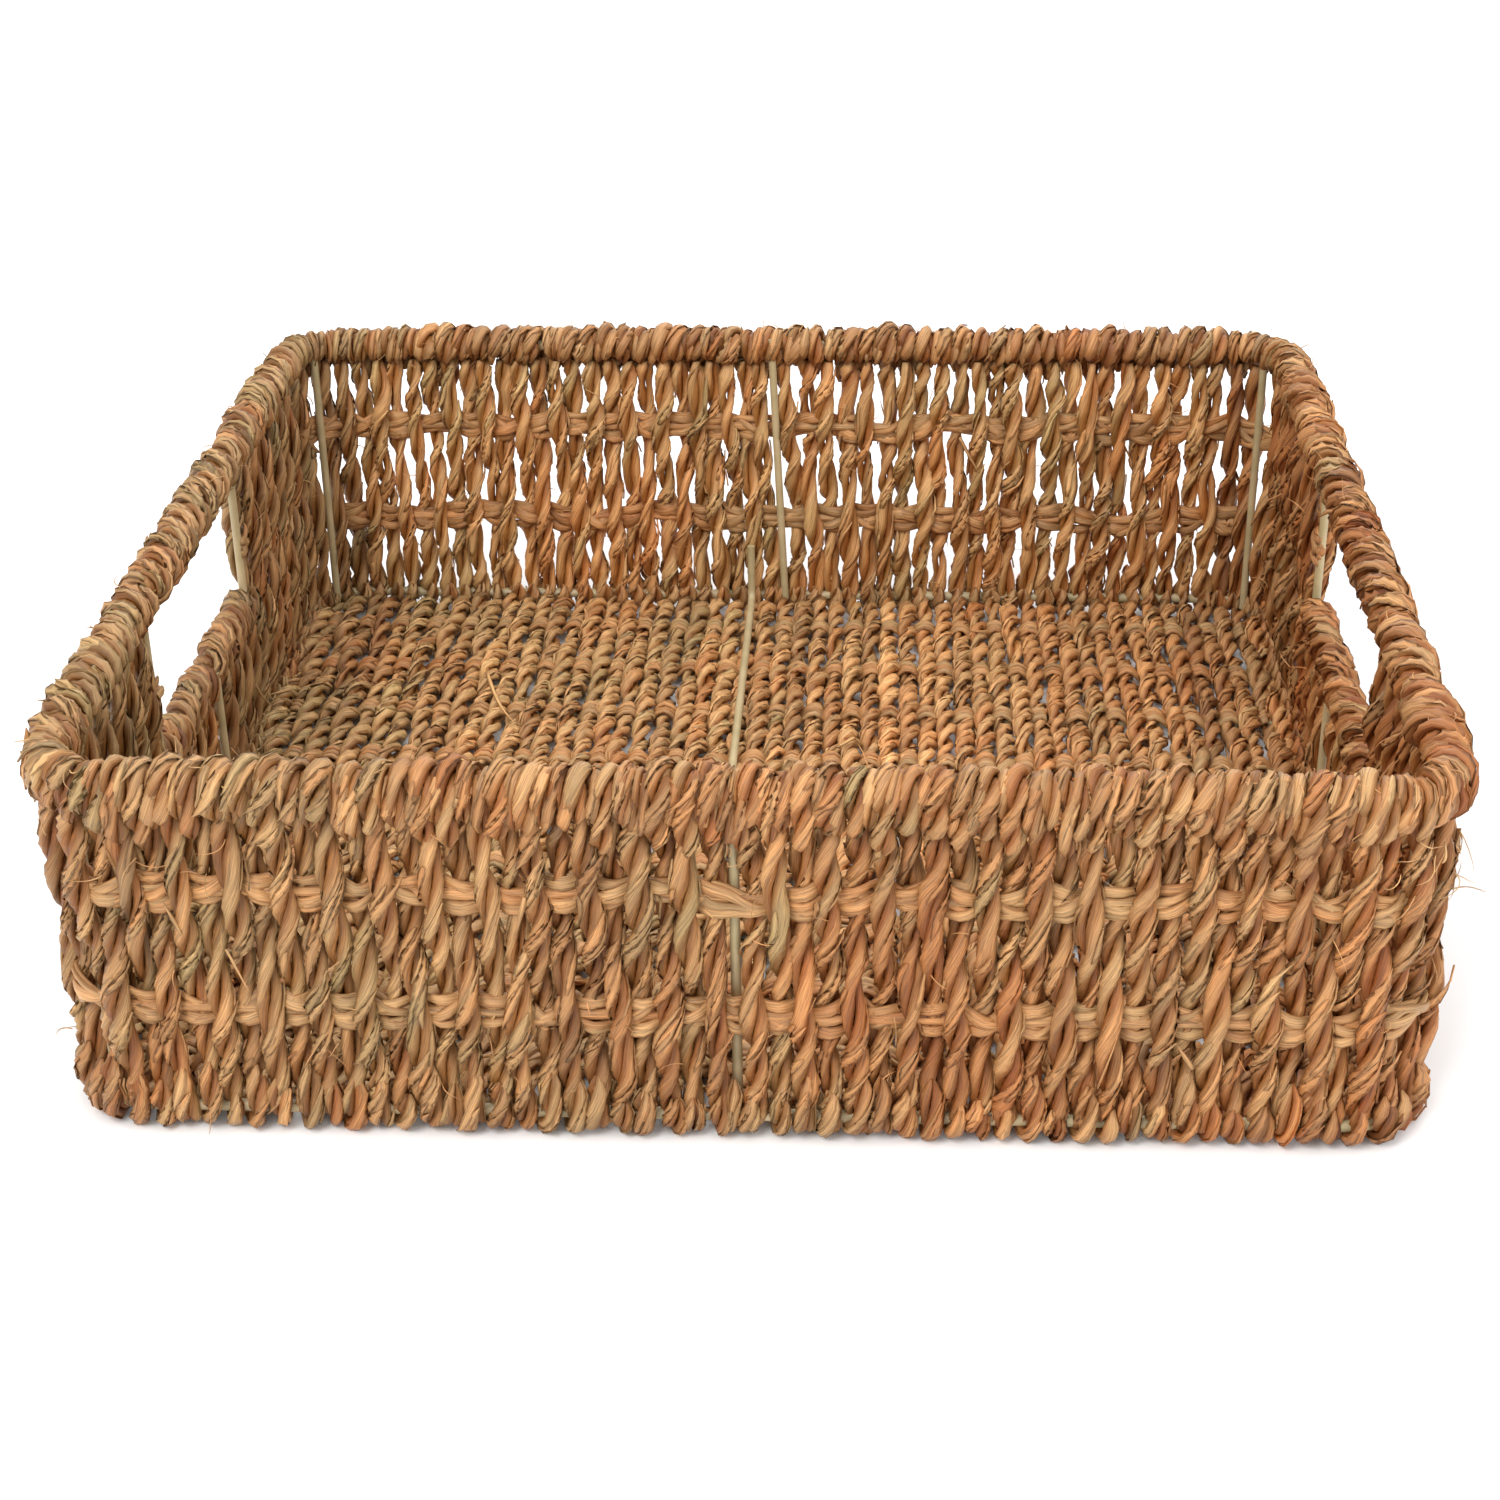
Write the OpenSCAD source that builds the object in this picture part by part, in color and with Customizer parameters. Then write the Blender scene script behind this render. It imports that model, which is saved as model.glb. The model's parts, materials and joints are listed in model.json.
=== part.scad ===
// Rectangular bread basket: seagrass rope woven on a welded wire frame,
// with a finger opening under the rim at each end.
// The origin is the middle of the underside, +Z is up, the front wall faces -Y.

/* [Overall] */
// Width over the rim, end to end
basket_w = 380; // [300:1:460]
// Depth over the rim, front to back
basket_d = 350; // [280:1:430]
// Height from the underside to the top of the rim
basket_h = 115; // [95:1:160]
// Plan radius of each corner, measured to the middle line of the wall
corner_r = 20; // [16:1:28]

/* [Rope] */
// Diameter of the two-ply rope
rope_d = 6.5; // [5:0.1:8]
// Least clear space between two ropes side by side
rope_gap = 0.1; // [0.05:0.05:1]
// How far alternate ropes stand outside and inside the middle line of the wall
weave_offset = 2.4; // [1.8:0.1:3.2]

/* [Loops over the rim and the base] */
// How far the loops over the rim wire stand proud of the wall on each side
rim_proud = 2.35; // [1:0.05:4]
// How far the strand round each handle bar stands proud of the wall on each side
handle_proud = 1.35; // [0.5:0.05:3]
// How far the loops round the base wire stand proud of the wall on each side
base_proud = 0.55; // [0.2:0.05:2]
// How far the loops on each handle sill stand proud of the wall on each side
sill_proud = 0.1; // [0.1:0.05:1]

/* [Bands] */
// Height of each band of flat strands
band_h = 12; // [8:0.5:14]
// Thickness of each band
band_t = 3.8; // [3:0.1:4.4]
// Drop from the rim wire to the middle of the upper band
upper_band_drop = 31.5; // [26:0.5:34]
// Rise from the base wire to the middle of the lower band
lower_band_rise = 32.5; // [20:0.5:34]

/* [Handles] */
// Clear length of each handle opening
opening_l = 110; // [90:1:130]
// Wall height between the lower band and the loops on the handle sill
sill_gap = 3.8; // [1:0.1:8]
// Bend radius of the wire at the two lower corners of each handle frame
frame_bend_r = 4; // [3:0.5:8]

/* [Wires] */
// Diameter of the rim wire
rim_wire_d = 4; // [3:0.1:5]
// Diameter of the base wire
base_wire_d = 3.5; // [3:0.1:5]
// Diameter of the ring wires hidden in the bands
ring_wire_d = 2; // [1.4:0.1:2.4]
// Diameter of the stays, the handle frames and the long floor wire
stay_d = 2.8; // [2.2:0.1:3.2]
// Diameter of the floor cross wires
cross_wire_d = 2.5; // [2:0.1:3]
// Place of the front stay along its wall, from the middle
front_stay_x = -1; // [-10:0.5:10]
// Place of the back stay's foot along its wall, from the middle
back_stay_x = -0.5; // [-10:0.5:10]
// Lean of the back stay from upright, in degrees
back_stay_lean = 2.5; // [0:0.5:4]
// Rise of the two ends of the long floor wire above the floor
floor_wire_rise = 22; // [12:1:30]

/* [Floor] */
// Depth of the grooves between the ropes of the floor
mat_groove = 1.9; // [1.5:0.1:2.3]
// Distance between the bands of flat strands woven across the floor
floor_band_spacing = 34.8; // [30:0.1:40]
// Width of each floor band
floor_band_w = 8; // [5:0.5:10]

/* [Fits] */
// Clearance between rope, loops and wires that lie against each other
fit_gap = 0.1; // [0.05:0.05:0.2]

/* [Hidden] */
$fn = 48;

// Half thickness of the woven wall, and the loops that close its edges
wall_half = weave_offset + rope_d / 2;
rim_r = wall_half + rim_proud;
handle_r = wall_half + handle_proud;
base_r = wall_half + base_proud;
sill_r = wall_half + sill_proud;

// Middle lines of the walls, and the straight length of each between its corners
wall_x = basket_w / 2 - rim_r;
wall_y = basket_d / 2 - rim_r;
run_x = 2 * (wall_x - corner_r);
run_y = 2 * (wall_y - corner_r);

// Heights of the wires that run round the basket
base_z = base_r;
rim_z = basket_h - rim_r;
lower_z = base_z + lower_band_rise;
upper_z = rim_z - upper_band_drop;
sill_z = lower_z + band_h / 2 + sill_gap + sill_r;

// A stay lies against the inner side of the rim wire, clear of the bands
stay_in = rim_wire_d / 2 + stay_d / 2;
stay_slot = stay_d + 2 * fit_gap;
stay_overrun = 4;
jamb_at = opening_l / 2 + stay_d / 2;
rope_pitch = rope_d + rope_gap;
cut_over = 1;

// Floor mat: the ribs are the floor's ropes, side by side
mat_x = wall_x - base_r - fit_gap;
mat_y = wall_y - base_r - fit_gap;
mat_corner_r = corner_r - base_r - fit_gap;
mat_top = rope_d;
rib_count = floor(2 * mat_x / rope_pitch);
floor_band_t = mat_groove - fit_gap;
floor_band_steps = floor((mat_y - floor_band_w) / floor_band_spacing);
cross_wire_step = 2;
long_wire_ribs = 2;
long_wire_x = ((rib_count + 1) % 2 / 2 - long_wire_ribs) * rope_pitch;
long_wire_z = mat_top + stay_d / 2;
long_wire_y = wall_y - base_r - stay_d / 2 - fit_gap;
cross_wire_z = base_z - base_wire_d / 2 - cross_wire_d / 2;

// Sides and corners are numbered anticlockwise from the front and the front right
FRONT = 0;
RIGHT = 1;
BACK = 2;
LEFT = 3;
OUTSIDE = -1;
INSIDE = 1;
CORNERS = ["front_right", "back_right", "back_left", "front_left"];

// Colours
WIRE = "#9a9467";
ROPE = "#b98a56";
BAND = "#c79a62";
LOOP = "#c2925a";

// ---- Frames of reference ----

// Puts children drawn for a wall at the front (X along it, outside towards -Y) on a side
module on_side(side) {
    distance = side % 2 == 0 ? wall_y : wall_x;
    rotate([0, 0, 90 * side]) translate([0, -distance, 0]) children();
}

// Puts children drawn round the +X, +Y quarter of the Z axis on a corner
module on_corner(corner) {
    sx = corner < 2 ? 1 : -1;
    sy = corner == 1 || corner == 2 ? 1 : -1;
    translate([sx * run_x / 2, sy * run_y / 2, 0]) rotate([0, 0, 90 * (corner - 1)]) children();
}

// Sweeps a profile (x outwards, y up) along a wall
module along_wall(length) {
    rotate([90, 0, -90]) linear_extrude(length, center = true) children();
}

// Sweeps the same profile round a corner
module round_corner() {
    rotate_extrude(angle = 90) translate([corner_r, 0]) children();
}

// A solid of the profile all round the basket at a height
module ring(z) {
    for (side = [FRONT:LEFT])
        translate([0, 0, z]) on_side(side) along_wall(side % 2 == 0 ? run_x : run_y) children();
    for (corner = [0:3])
        translate([0, 0, z]) on_corner(corner) round_corner() children();
}

// ---- Wires ----

module rod(d, from, to) {
    translate([0, 0, from]) cylinder(d = d, h = to - from);
}

// A rod along a wall
module wall_rod(d, length) {
    rotate([0, 90, 0]) cylinder(d = d, h = length, center = true);
}

// A rod bent to a U in the XZ plane: its bottom runs along X at z = 0 and its legs rise
module u_rod(d, span, leg, bend_r) {
    wall_rod(d, span - 2 * bend_r);
    for (turn = [0, 180]) rotate([0, 0, turn]) translate([span / 2, 0, bend_r]) {
        cylinder(d = d, h = leg - bend_r);
        translate([-bend_r, 0, 0]) rotate([90, 90, 0])
            rotate_extrude(angle = 90) translate([bend_r, 0]) circle(d = d);
    }
}

module rim_wire() {
    color(WIRE) ring(rim_z) circle(d = rim_wire_d);
}

module base_wire() {
    color(WIRE) ring(base_z) circle(d = base_wire_d);
}

module lower_ring_wire() {
    color(WIRE) ring(lower_z) circle(d = ring_wire_d);
}

// Two wires, front and back, that stop at the handle frames
module upper_ring_wires() {
    color(WIRE) difference() {
        ring(upper_z) circle(d = ring_wire_d);
        for (side = [RIGHT, LEFT])
            on_side(side) translate([0, 0, upper_z])
                cube([2 * jamb_at + stay_d + 2 * fit_gap, stay_slot, stay_slot], center = true);
    }
}

// Upright rod against the inner side of the wall's middle line
module wall_stay(d, top) {
    translate([0, stay_in, 0]) rod(d, base_z, top);
}

module centre_stay(d) {
    wall_stay(d, rim_z + stay_overrun);
}

module front_stay() {
    color(WIRE) on_side(FRONT) translate([front_stay_x, 0, 0]) centre_stay(stay_d);
}

// The back stay leans, turned about its foot
module lean_back(d) {
    translate([-back_stay_x, 0, base_z]) rotate([0, back_stay_lean, 0])
        translate([0, 0, -base_z]) centre_stay(d);
}

module back_stay() {
    color(WIRE) on_side(BACK) lean_back(stay_d);
}

module end_stay(side) {
    color(WIRE) on_side(side) wall_stay(stay_d, sill_z);
}

// Placed at the middle of a corner's arc
module at_mid_corner(corner) {
    on_corner(corner) rotate([0, 0, 45]) translate([corner_r, 0, 0]) children();
}

module corner_rod(corner, d) {
    at_mid_corner(corner) translate([-stay_in, 0, 0]) rod(d, base_z, rim_z);
}

module corner_stay(corner) {
    color(WIRE) corner_rod(corner, stay_d);
}

// U of wire under the rim that frames a handle opening
module handle_frame(side) {
    color(WIRE) on_side(side) translate([0, 0, sill_z])
        u_rod(stay_d, 2 * jamb_at, rim_z - rim_wire_d / 2 - sill_z, frame_bend_r);
}

module long_floor_wire() {
    color(WIRE) translate([long_wire_x, 0, long_wire_z]) rotate([0, 0, 90])
        u_rod(stay_d, 2 * long_wire_y, floor_wire_rise, frame_bend_r);
}

// Under the second floor band to each side of the middle one
module cross_rods(d) {
    for (y = [-1, 1] * cross_wire_step * floor_band_spacing)
        translate([0, y, cross_wire_z]) wall_rod(d, 2 * wall_x);
}

module floor_cross_wires() {
    color(WIRE) cross_rods(cross_wire_d);
}

// ---- Ropes ----

// One upright rope, OUTSIDE or INSIDE, with a seat for each band
module rope(side, top, seats) {
    difference() {
        translate([0, side * weave_offset, 0]) rod(rope_d, base_z, top);
        for (z = seats) translate([0, 0, z])
            cube([rope_d + cut_over, band_t + 2 * fit_gap, band_h + 2 * fit_gap], center = true);
    }
}

function rope_total(length) = floor(length / rope_pitch);

// The side of rope i in a row that goes outside and inside in turn
function rope_side(i, first) = i % 2 == 0 ? first : -first;

// Ropes from one place along a wall to another. The first lies close beside its start,
// and the rest share out what room is left.
module rope_row(from, to, count, first, top, seats) {
    step = (abs(to - from) - rope_pitch / 2) / (count - 0.5);
    for (i = [0:count - 1])
        translate([from + sign(to - from) * (rope_pitch / 2 + i * step), 0, 0])
            rope(rope_side(i, first), top, seats);
}

// Solid bars that trim the ropes of one wall at its rim and its base
module edge_cuts(top_z, top_r, length) {
    translate([0, 0, top_z]) wall_rod(2 * (top_r + fit_gap), length + 2 * cut_over);
    translate([0, 0, base_z]) wall_rod(2 * (base_r + fit_gap), length + 2 * cut_over);
}

// Ropes in pairs, inside and outside, from the stay to each end of a long wall
module long_wall_ropes(side, stay_x) {
    color(ROPE) on_side(side) difference() {
        for (end = [-1, 1]) {
            from = stay_x + end * stay_slot / 2;
            to = end * run_x / 2;
            count = 2 * floor(rope_total(abs(to - from)) / 2);
            rope_row(from, to, count, INSIDE, rim_z, [lower_z, upper_z]);
        }
        edge_cuts(rim_z, rim_r, run_x);
    }
}

module front_ropes() {
    long_wall_ropes(FRONT, front_stay_x);
}

// The ropes beside the leaning back stay give way to it
module back_ropes() {
    color(ROPE) difference() {
        long_wall_ropes(BACK, -back_stay_x);
        on_side(BACK) lean_back(stay_slot);
    }
}

// Full-height ropes between a corner and a handle frame. end is -1 or 1 along the wall.
module end_ropes(side, end) {
    from = run_y / 2;
    to = jamb_at + stay_slot / 2;
    color(ROPE) on_side(side) difference() {
        rope_row(end * from, end * to, rope_total(from - to), OUTSIDE, rim_z, [lower_z, upper_z]);
        edge_cuts(rim_z, rim_r, run_y);
    }
}

// Ropes under a handle opening, on each side of the end stay
module short_ropes(side) {
    from = stay_slot / 2;
    to = jamb_at - stay_slot / 2;
    color(ROPE) on_side(side) difference() {
        for (end = [-1, 1])
            rope_row(end * from, end * to, rope_total(to - from), INSIDE, sill_z, [lower_z]);
        edge_cuts(sill_z, sill_r, run_y);
    }
}

// Ropes round a corner on both sides of the corner stay, counted from it
module corner_ropes(corner) {
    stay_arc = asin(stay_slot / 2 / corner_r);
    half_arc = 45 - stay_arc;
    count = rope_total(half_arc * PI / 180 * corner_r);
    step = half_arc / count;
    color(ROPE) difference() {
        on_corner(corner) for (way = [-1, 1]) for (i = [0:count - 1])
            rotate([0, 0, 45 + way * (stay_arc + (i + 0.5) * step)]) translate([corner_r, 0, 0])
                rotate([0, 0, 90]) rope(rope_side(i, OUTSIDE), rim_z, []);
        ring(rim_z) circle(r = rim_r + fit_gap);
        ring(base_z) circle(r = base_r + fit_gap);
        for (z = [lower_z, upper_z])
            ring(z) square([band_t + 2 * fit_gap, band_h + 2 * fit_gap], center = true);
    }
}

// ---- Floor ----

module mat_outline() {
    square([2 * mat_x, 2 * (mat_y - mat_corner_r)], center = true);
    square([2 * (mat_x - mat_corner_r), 2 * mat_y], center = true);
    for (sx = [-1, 1], sy = [-1, 1])
        translate([sx * (mat_x - mat_corner_r), sy * (mat_y - mat_corner_r)])
            circle(r = mat_corner_r);
}

module mat_section() {
    translate([-mat_x, 0]) square([2 * mat_x, mat_top - mat_groove]);
    for (i = [0:rib_count - 1])
        translate([(i - (rib_count - 1) / 2) * rope_pitch, rope_d / 2]) circle(d = rope_d);
}

module floor_mat() {
    color(ROPE) difference() {
        intersection() {
            rotate([90, 0, 0]) linear_extrude(2 * mat_y, center = true) mat_section();
            linear_extrude(rope_d + cut_over) mat_outline();
        }
        cross_rods(cross_wire_d + 2 * fit_gap);
        floor_strips(2 * (mat_x + cut_over), floor_band_w + 2 * fit_gap, floor_band_t + fit_gap, cut_over);
    }
}

// Flat bars across the floor, let into its top. over is how far they stand above it.
module floor_strips(length, width, depth, over) {
    for (i = [-floor_band_steps:floor_band_steps])
        translate([-length / 2, i * floor_band_spacing - width / 2, mat_top - depth])
            cube([length, width, depth + over]);
}

module floor_bands() {
    color(BAND) floor_strips(2 * mat_x, floor_band_w, floor_band_t, 0);
}

// ---- Bands ----

module band_profile() {
    difference() {
        square([band_t, band_h], center = true);
        circle(d = ring_wire_d + 2 * fit_gap);
    }
}

// The band of a long wall goes on round the corners at its two ends
module long_band(side, z) {
    color(BAND) translate([0, 0, z]) {
        on_side(side) along_wall(run_x) band_profile();
        for (corner = side == FRONT ? [0, 3] : [1, 2]) on_corner(corner) round_corner() band_profile();
    }
}

module end_lower_band(side) {
    color(BAND) translate([0, 0, lower_z]) on_side(side) along_wall(run_y) band_profile();
}

// Two lengths, between the corners and the handle frame
module end_upper_band(side) {
    from = jamb_at + stay_slot / 2;
    color(BAND) translate([0, 0, upper_z]) on_side(side) for (end = [-1, 1])
        translate([end * (from + run_y / 2) / 2, 0, 0])
            along_wall(run_y / 2 - from) band_profile();
}

// ---- Loops over the edges ----

module loop_profile(r, wire_d) {
    difference() {
        circle(r = r);
        circle(d = wire_d + 2 * fit_gap);
    }
}

module rim_profile() {
    loop_profile(rim_r, rim_wire_d);
}

module front_rim_loops() {
    color(LOOP) on_side(FRONT) difference() {
        translate([0, 0, rim_z]) along_wall(run_x) rim_profile();
        stay_notch(front_stay_x);
    }
}

// The loops part round the top of the leaning stay
module back_rim_loops() {
    lean_shift = (rim_z - base_z) * tan(back_stay_lean);
    color(LOOP) on_side(BACK) difference() {
        translate([0, 0, rim_z]) along_wall(run_x) rim_profile();
        stay_notch(lean_shift - back_stay_x);
    }
}

module stay_notch(x) {
    notch_w = stay_slot + 2 * stay_overrun * tan(back_stay_lean);
    translate([x, 0, rim_z])
        cube([notch_w, 2 * rim_r + cut_over, 2 * rim_r + cut_over], center = true);
}

module end_rim_loops(side) {
    from = jamb_at + stay_slot / 2;
    color(LOOP) translate([0, 0, rim_z]) on_side(side) for (end = [-1, 1])
        translate([end * (from + run_y / 2) / 2, 0, 0])
            along_wall(run_y / 2 - from) rim_profile();
}

module corner_rim_loops() {
    color(LOOP) for (corner = [0:3]) difference() {
        translate([0, 0, rim_z]) on_corner(corner) round_corner() rim_profile();
        corner_rod(corner, stay_slot);
    }
}

module handle_wrap(side) {
    color(LOOP) translate([0, 0, rim_z]) on_side(side)
        along_wall(2 * jamb_at - stay_slot) loop_profile(handle_r, rim_wire_d);
}

module sill_loops(side) {
    color(LOOP) on_side(side) difference() {
        translate([0, 0, sill_z])
            along_wall(2 * (jamb_at - frame_bend_r)) loop_profile(sill_r, stay_d);
        wall_stay(stay_slot, sill_z);
    }
}

module base_profile() {
    loop_profile(base_r, base_wire_d);
}

module front_base_loops() {
    color(LOOP) on_side(FRONT) difference() {
        translate([0, 0, base_z]) along_wall(run_x) base_profile();
        translate([front_stay_x, 0, 0]) centre_stay(stay_slot);
    }
}

module back_base_loops() {
    color(LOOP) on_side(BACK) difference() {
        translate([0, 0, base_z]) along_wall(run_x) base_profile();
        lean_back(stay_slot);
    }
}

module end_base_loops(side) {
    color(LOOP) difference() {
        on_side(side) difference() {
            translate([0, 0, base_z]) along_wall(run_y) base_profile();
            wall_stay(stay_slot, sill_z);
        }
        cross_rods(cross_wire_d + 2 * fit_gap);
    }
}

module corner_base_loops() {
    color(LOOP) for (corner = [0:3]) difference() {
        translate([0, 0, base_z]) on_corner(corner) round_corner() base_profile();
        corner_rod(corner, stay_slot);
    }
}

// ---- The basket ----

rim_wire();
base_wire();
upper_ring_wires();
lower_ring_wire();
front_stay();
back_stay();
end_stay(LEFT);  // left_end_stay
end_stay(RIGHT);  // right_end_stay
for (i = [0:3]) {
    corner_stay(i);
    corner_ropes(i);
}
handle_frame(LEFT);  // left_handle_frame
handle_frame(RIGHT);  // right_handle_frame
long_floor_wire();
floor_cross_wires();
floor_mat();
floor_bands();
front_ropes();
back_ropes();
end_ropes(LEFT, 1);  // left_front_ropes
short_ropes(LEFT);  // left_short_ropes
end_ropes(LEFT, -1);  // left_back_ropes
end_ropes(RIGHT, -1);  // right_front_ropes
short_ropes(RIGHT);  // right_short_ropes
end_ropes(RIGHT, 1);  // right_back_ropes
long_band(FRONT, upper_z);  // front_upper_band
long_band(BACK, upper_z);  // back_upper_band
end_upper_band(LEFT);  // left_upper_band
end_upper_band(RIGHT);  // right_upper_band
long_band(FRONT, lower_z);  // front_lower_band
long_band(BACK, lower_z);  // back_lower_band
end_lower_band(LEFT);  // left_lower_band
end_lower_band(RIGHT);  // right_lower_band
front_rim_loops();
back_rim_loops();
end_rim_loops(LEFT);  // left_rim_loops
end_rim_loops(RIGHT);  // right_rim_loops
corner_rim_loops();
handle_wrap(LEFT);  // left_handle_wrap
handle_wrap(RIGHT);  // right_handle_wrap
sill_loops(LEFT);  // left_sill_loops
sill_loops(RIGHT);  // right_sill_loops
front_base_loops();
back_base_loops();
end_base_loops(LEFT);  // left_base_loops
end_base_loops(RIGHT);  // right_base_loops
corner_base_loops();
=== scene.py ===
"""The bread basket: seagrass rope woven on a painted wire frame.

Each rope, band and loop of the CAD frame is laid again here as twisted strands, in mm. A place on
a wall is (distance along the wall, distance outwards, height), and Wall.place turns it into x, y, z.
A value named WANDER is (mm between changes, most change), and one named RANGE is (least, most)."""
import json
import math

import bpy
import numpy as np
from mathutils import Matrix, Vector


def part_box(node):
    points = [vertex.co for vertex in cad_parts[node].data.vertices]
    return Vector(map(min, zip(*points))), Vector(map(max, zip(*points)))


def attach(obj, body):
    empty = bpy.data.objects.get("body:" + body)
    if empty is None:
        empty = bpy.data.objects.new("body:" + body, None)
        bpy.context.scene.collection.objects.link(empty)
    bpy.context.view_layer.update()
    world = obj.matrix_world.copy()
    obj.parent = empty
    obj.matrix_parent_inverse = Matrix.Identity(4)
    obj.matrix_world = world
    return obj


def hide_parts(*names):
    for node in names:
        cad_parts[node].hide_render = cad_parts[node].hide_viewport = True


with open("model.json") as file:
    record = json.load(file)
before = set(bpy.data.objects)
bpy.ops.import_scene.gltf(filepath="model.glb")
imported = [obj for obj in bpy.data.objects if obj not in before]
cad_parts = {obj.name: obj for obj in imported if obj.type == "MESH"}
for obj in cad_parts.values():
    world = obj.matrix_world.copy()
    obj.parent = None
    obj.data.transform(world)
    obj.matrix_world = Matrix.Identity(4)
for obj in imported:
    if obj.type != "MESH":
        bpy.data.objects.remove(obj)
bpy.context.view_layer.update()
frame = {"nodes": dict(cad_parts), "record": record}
rng = np.random.default_rng(20)
MM = 0.001

FRONT, RIGHT, BACK, LEFT = range(4)
SIDES = ("front", "right", "back", "left")
CORNERS = ("front_right", "back_right", "back_left", "front_left")
ALONG = (1, 0, 0)
UP = (0, 0, 1)

# Tone of each material slot: lightness, and hue from -1 (khaki) to 1 (orange brown)
TONES = {
    "rope": (1.12, -0.02),
    "floor_rope": (1.4, -0.16),
    "band_strand": (1.12, -0.02),
    # edge_loop is a little darker than rope: painted shade that tones down the loops that face the key
    # lamp
    "edge_loop": (1.08, -0.03),
}


# ---- Measures of the CAD frame, in mm ----

def box_mm(node):
    low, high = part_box(node)
    return np.array(low) / MM, np.array(high) / MM


def middle(node):
    low, high = box_mm(node)
    return (low + high) / 2


class Wall:
    """The middle line of the woven wall, a rounded rectangle in plan. It starts at the left end
    of the front wall and goes right, as seen from outside."""

    def __init__(self):
        low, high = box_mm("rim_wire")
        wire_r = (high[2] - low[2]) / 2
        self.rim_z = (high[2] + low[2]) / 2
        self.half = (box_mm("front_rim_loops")[1][0], box_mm("right_rim_loops")[1][1])
        self.reach = (high[1] - wire_r, high[0] - wire_r)
        self.corner_r = self.reach[1] - self.half[0]
        self.arc = self.corner_r * math.pi / 2
        self.total = 4 * (self.half[0] + self.half[1] + self.arc)
        self.start = [0.0]
        for side in range(3):
            self.start.append(self.start[-1] + 2 * self.half[side % 2] + self.arc)
        self.base_z = middle("base_wire")[2]
        self.upper_z = middle("upper_ring_wires")[2]
        self.lower_z = middle("lower_ring_wire")[2]
        stay_low, stay_high = box_mm("front_stay")
        self.stay_r = (stay_high[0] - stay_low[0]) / 2
        self.sill_z = box_mm("left_handle_frame")[0][2] + self.stay_r
        self.opening = box_mm("left_handle_wrap")[1][1]

    def along(self, side, x):
        """Distance along the line of a place x from the middle of a side."""
        return self.start[side] + self.half[side % 2] + x

    def place(self, points):
        """x, y, z of places on the wall."""
        out = np.array(points, float)
        along = np.mod(points[..., 0], self.total)
        for side in range(4):
            half = self.half[side % 2]
            begin = self.start[side]
            on_run = (along >= begin) & (along < begin + 2 * half)
            on_arc = (along >= begin + 2 * half) & (along < begin + 2 * half + self.arc)
            for mask, curved in ((on_run, False), (on_arc, True)):
                outwards = points[..., 1][mask]
                if curved:
                    angle = (along[mask] - begin - 2 * half) / self.corner_r - math.pi / 2
                    x = half + (self.corner_r + outwards) * np.cos(angle)
                    y = (-(self.reach[side % 2] - self.corner_r)
                         + (self.corner_r + outwards) * np.sin(angle))
                else:
                    x = along[mask] - begin - half
                    y = -(self.reach[side % 2] + outwards)
                turn = side * math.pi / 2
                out[..., 0][mask] = x * math.cos(turn) - y * math.sin(turn)
                out[..., 1][mask] = x * math.sin(turn) + y * math.cos(turn)
        return out

    def find(self, x, y):
        """(distance along, distance outwards) of a point in plan."""
        for side in range(4):
            turn = -side * math.pi / 2
            half, reach = self.half[side % 2], self.reach[side % 2]
            u = x * math.cos(turn) - y * math.sin(turn)
            v = x * math.sin(turn) + y * math.cos(turn)
            if abs(u) <= half and v < -reach / 2:
                return self.along(side, u), -v - reach
            across, up = u - half, v + (reach - self.corner_r)
            if across > 0 and up < 0:
                angle = math.atan2(up, across) + math.pi / 2
                return (self.start[side] + 2 * half + angle * self.corner_r,
                        math.hypot(across, up) - self.corner_r)
        return 0.0, 0.0


WALL = Wall()


def islands(node):
    """The lowest and highest corner of each separate solid of a CAD node."""
    obj = frame["nodes"][node]
    mesh = obj.data
    points = np.empty(len(mesh.vertices) * 3)
    mesh.vertices.foreach_get("co", points)
    matrix = np.array(obj.matrix_world)
    points = (points.reshape(-1, 3) @ matrix[:3, :3].T + matrix[:3, 3]) / MM
    same = np.unique(np.round(points, 3), axis=0, return_inverse=True)[1].reshape(-1)
    ends = np.empty(len(mesh.edges) * 2, np.int32)
    mesh.edges.foreach_get("vertices", ends)
    ends = same[ends.reshape(-1, 2)]
    label = np.arange(same.max() + 1)
    while True:
        low = np.minimum(label[ends[:, 0]], label[ends[:, 1]])
        new = label.copy()
        np.minimum.at(new, ends[:, 0], low)
        np.minimum.at(new, ends[:, 1], low)
        new = new[new]
        if (new == label).all():
            break
        label = new
    owner = label[same]
    return [(points[owner == i].min(0), points[owner == i].max(0)) for i in np.unique(owner)]


def wall_ropes(node):
    """(distance along, side: 1 outside or -1 inside) of each rope of a CAD node, in order."""
    found = []
    for low, high in islands(node):
        along, outwards = WALL.find(*((low + high) / 2)[:2])
        found.append((along, 1 if outwards > 0 else -1))
    return sorted(found)


def stay_foot(side):
    """Distance along the wall of the foot of the stay in a long wall. The back one leans."""
    low, high = box_mm(SIDES[side] + "_stay")
    return WALL.along(side, low[0] + WALL.stay_r if side == FRONT else WALL.stay_r - high[0])


def stay_top(side):
    """Distance along the wall of the top of the same stay."""
    low, _ = box_mm(SIDES[side] + "_stay")
    return WALL.along(side, low[0] + WALL.stay_r if side == FRONT else -WALL.stay_r - low[0])


# ---- Strands ----

GRAIN_PER_MM = 0.06
GRAIN_START = 900


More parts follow.
